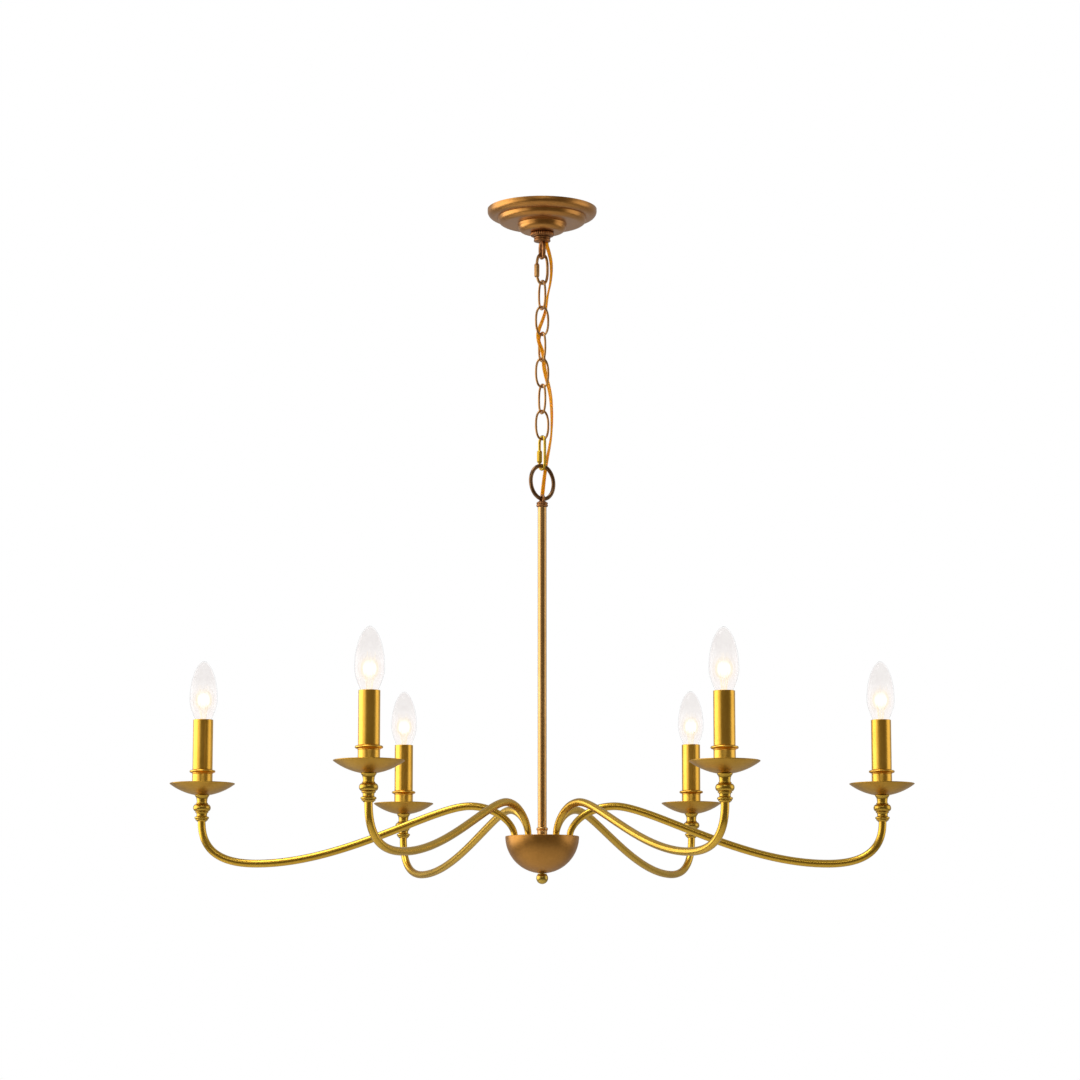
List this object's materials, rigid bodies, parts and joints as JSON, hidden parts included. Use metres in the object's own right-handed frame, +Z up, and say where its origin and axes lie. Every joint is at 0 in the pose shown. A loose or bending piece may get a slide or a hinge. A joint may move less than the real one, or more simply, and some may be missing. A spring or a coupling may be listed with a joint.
{
  "type": "chandelier",
  "caption": "Hanging brass chandelier: stepped ceiling canopy, short link chain, long stem, bowl hub, and curved arms that carry drip pans, candle sleeves and torpedo bulbs.",
  "frame": {"origin": "centre of the canopy's open top, in the plane of the ceiling that it is fixed to", "axes": "+Z up, +X from the middle towards the first arm, +Y away from the front, right-handed"},
  "size_m": [0.916, 0.8241, 0.8494],
  "materials": {
    "antique_brass": "satin antique brass, lacquered",
    "brushed_gold": "brushed yellow-gold lacquered brass",
    "chain_brass": "brown brass plate",
    "yellow_brass": "bright yellow brass",
    "dark_bronze": "dark copper-brown bronze, mottled",
    "zinc_steel": "zinc-plated",
    "socket_black": "matt black",
    "bulb_glass": "clear glass, lit warm white inside",
    "amber_cord": "translucent amber PVC flex"
  },
  "bodies": {
    "ceiling_fixing": {"mounting_crossbar": "zinc_steel", "canopy_nipple": "zinc_steel", "canopy_locknut": "zinc_steel", "ceiling_canopy": "antique_brass", "canopy_collar": "dark_bronze", "canopy_loop": "dark_bronze", "supply_cord": "amber_cord"},
    "quick_link_top": {"quick_link_top": "chain_brass"},
    "quick_link_top_nut": {"quick_link_top_nut": "chain_brass"},
    "chain_link_1": {"chain_link_1": "chain_brass"},
    "chain_link_2": {"chain_link_2": "chain_brass"},
    "chain_link_3": {"chain_link_3": "chain_brass"},
    "chain_link_4": {"chain_link_4": "chain_brass"},
    "chain_link_5": {"chain_link_5": "chain_brass"},
    "chain_link_6": {"chain_link_6": "chain_brass"},
    "quick_link_bottom": {"quick_link_bottom": "yellow_brass"},
    "quick_link_bottom_nut": {"quick_link_bottom_nut": "yellow_brass"},
    "hanging_ring": {"hanging_ring": "dark_bronze"},
    "hub": {"stem_loop": "dark_bronze", "stem_tube": "brushed_gold", "stem_collar": "brushed_gold", "hub_plate": "brushed_gold", "hub_bowl": "antique_brass", "finial": "yellow_brass"},
    "arm_1": {"arm_1": "brushed_gold", "arm_knuckle_1": "brushed_gold", "drip_pan_1": "brushed_gold", "candle_sleeve_1": "brushed_gold", "lamp_socket_1": "socket_black"},
    "bulb_1": {"bulb_1": "bulb_glass"},
    "arm_2": {"arm_2": "brushed_gold", "arm_knuckle_2": "brushed_gold", "drip_pan_2": "brushed_gold", "candle_sleeve_2": "brushed_gold", "lamp_socket_2": "socket_black"},
    "bulb_2": {"bulb_2": "bulb_glass"},
    "arm_3": {"arm_3": "brushed_gold", "arm_knuckle_3": "brushed_gold", "drip_pan_3": "brushed_gold", "candle_sleeve_3": "brushed_gold", "lamp_socket_3": "socket_black"},
    "bulb_3": {"bulb_3": "bulb_glass"},
    "arm_4": {"arm_4": "brushed_gold", "arm_knuckle_4": "brushed_gold", "drip_pan_4": "brushed_gold", "candle_sleeve_4": "brushed_gold", "lamp_socket_4": "socket_black"},
    "bulb_4": {"bulb_4": "bulb_glass"},
    "arm_5": {"arm_5": "brushed_gold", "arm_knuckle_5": "brushed_gold", "drip_pan_5": "brushed_gold", "candle_sleeve_5": "brushed_gold", "lamp_socket_5": "socket_black"},
    "bulb_5": {"bulb_5": "bulb_glass"},
    "arm_6": {"arm_6": "brushed_gold", "arm_knuckle_6": "brushed_gold", "drip_pan_6": "brushed_gold", "candle_sleeve_6": "brushed_gold", "lamp_socket_6": "socket_black"},
    "bulb_6": {"bulb_6": "bulb_glass"}
  },
  "joints": [
    {"name": "top_quick_link_swing", "type": "hinge", "parent": "ceiling_fixing", "child": "quick_link_top", "pos_m": [0, 0, -0.0628], "axis": [-0.454, 0.891, 0], "range_deg": [-6, 6], "deforming": ["supply_cord"]},
    {"name": "link_1_swing", "type": "hinge", "parent": "quick_link_top", "child": "chain_link_1", "pos_m": [0, 0, -0.09605], "axis": [0.891, 0.454, 0], "range_deg": [-6, 6]},
    {"name": "link_2_swing", "type": "hinge", "parent": "chain_link_1", "child": "chain_link_2", "pos_m": [0, 0, -0.129], "axis": [-0.454, 0.891, 0], "range_deg": [-6, 6]},
    {"name": "link_3_swing", "type": "hinge", "parent": "chain_link_2", "child": "chain_link_3", "pos_m": [0, 0, -0.1623], "axis": [0.891, 0.454, 0], "range_deg": [-6, 6]},
    {"name": "link_4_swing", "type": "hinge", "parent": "chain_link_3", "child": "chain_link_4", "pos_m": [0, 0, -0.1956], "axis": [-0.454, 0.891, 0], "range_deg": [-6, 6]},
    {"name": "link_5_swing", "type": "hinge", "parent": "chain_link_4", "child": "chain_link_5", "pos_m": [0, 0, -0.2289], "axis": [0.891, 0.454, 0], "range_deg": [-6, 6]},
    {"name": "link_6_swing", "type": "hinge", "parent": "chain_link_5", "child": "chain_link_6", "pos_m": [0, 0, -0.2622], "axis": [-0.454, 0.891, 0], "range_deg": [-6, 6]},
    {"name": "bottom_quick_link_swing", "type": "hinge", "parent": "chain_link_6", "child": "quick_link_bottom", "pos_m": [0, 0, -0.2955], "axis": [0.891, 0.454, 0], "range_deg": [-6, 6]},
    {"name": "ring_swing", "type": "hinge", "parent": "quick_link_bottom", "child": "hanging_ring", "pos_m": [0, 0, -0.33355], "axis": [-0.454, 0.891, 0], "range_deg": [-6, 6]},
    {"name": "body_swing", "type": "hinge", "parent": "hanging_ring", "child": "hub", "pos_m": [0, 0, -0.37115], "axis": [0.891, 0.454, 0], "range_deg": [-6, 6]},
    {"name": "top_quick_link_nut_travel", "type": "slide", "parent": "quick_link_top", "child": "quick_link_top_nut", "axis": [0, 0, 1], "range_m": [0, 0.005]},
    {"name": "bottom_quick_link_nut_travel", "type": "slide", "parent": "quick_link_bottom", "child": "quick_link_bottom_nut", "axis": [0, 0, 1], "range_m": [0, 0.0092]},
    {"name": "arm_1_swivel", "type": "hinge", "parent": "hub", "child": "arm_1", "pos_m": [0.034, 0, -0.7909], "axis": [0, 0, 1], "range_deg": [-20, 20]},
    {"name": "arm_2_swivel", "type": "hinge", "parent": "hub", "child": "arm_2", "pos_m": [0.017, 0.02944, -0.7909], "axis": [0, 0, 1], "range_deg": [-20, 20]},
    {"name": "arm_3_swivel", "type": "hinge", "parent": "hub", "child": "arm_3", "pos_m": [-0.017, 0.02944, -0.7909], "axis": [0, 0, 1], "range_deg": [-20, 20]},
    {"name": "arm_4_swivel", "type": "hinge", "parent": "hub", "child": "arm_4", "pos_m": [-0.034, 0, -0.7909], "axis": [0, 0, 1], "range_deg": [-20, 20]},
    {"name": "arm_5_swivel", "type": "hinge", "parent": "hub", "child": "arm_5", "pos_m": [-0.017, -0.02944, -0.7909], "axis": [0, 0, 1], "range_deg": [-20, 20]},
    {"name": "arm_6_swivel", "type": "hinge", "parent": "hub", "child": "arm_6", "pos_m": [0.017, -0.02944, -0.7909], "axis": [0, 0, 1], "range_deg": [-20, 20]},
    {"name": "bulb_1_pull", "type": "slide", "parent": "arm_1", "child": "bulb_1", "axis": [0, 0, 1], "range_m": [0, 0.03]},
    {"name": "bulb_2_pull", "type": "slide", "parent": "arm_2", "child": "bulb_2", "axis": [0, 0, 1], "range_m": [0, 0.03]},
    {"name": "bulb_3_pull", "type": "slide", "parent": "arm_3", "child": "bulb_3", "axis": [0, 0, 1], "range_m": [0, 0.03]},
    {"name": "bulb_4_pull", "type": "slide", "parent": "arm_4", "child": "bulb_4", "axis": [0, 0, 1], "range_m": [0, 0.03]},
    {"name": "bulb_5_pull", "type": "slide", "parent": "arm_5", "child": "bulb_5", "axis": [0, 0, 1], "range_m": [0, 0.03]},
    {"name": "bulb_6_pull", "type": "slide", "parent": "arm_6", "child": "bulb_6", "axis": [0, 0, 1], "range_m": [0, 0.03]}
  ]
}
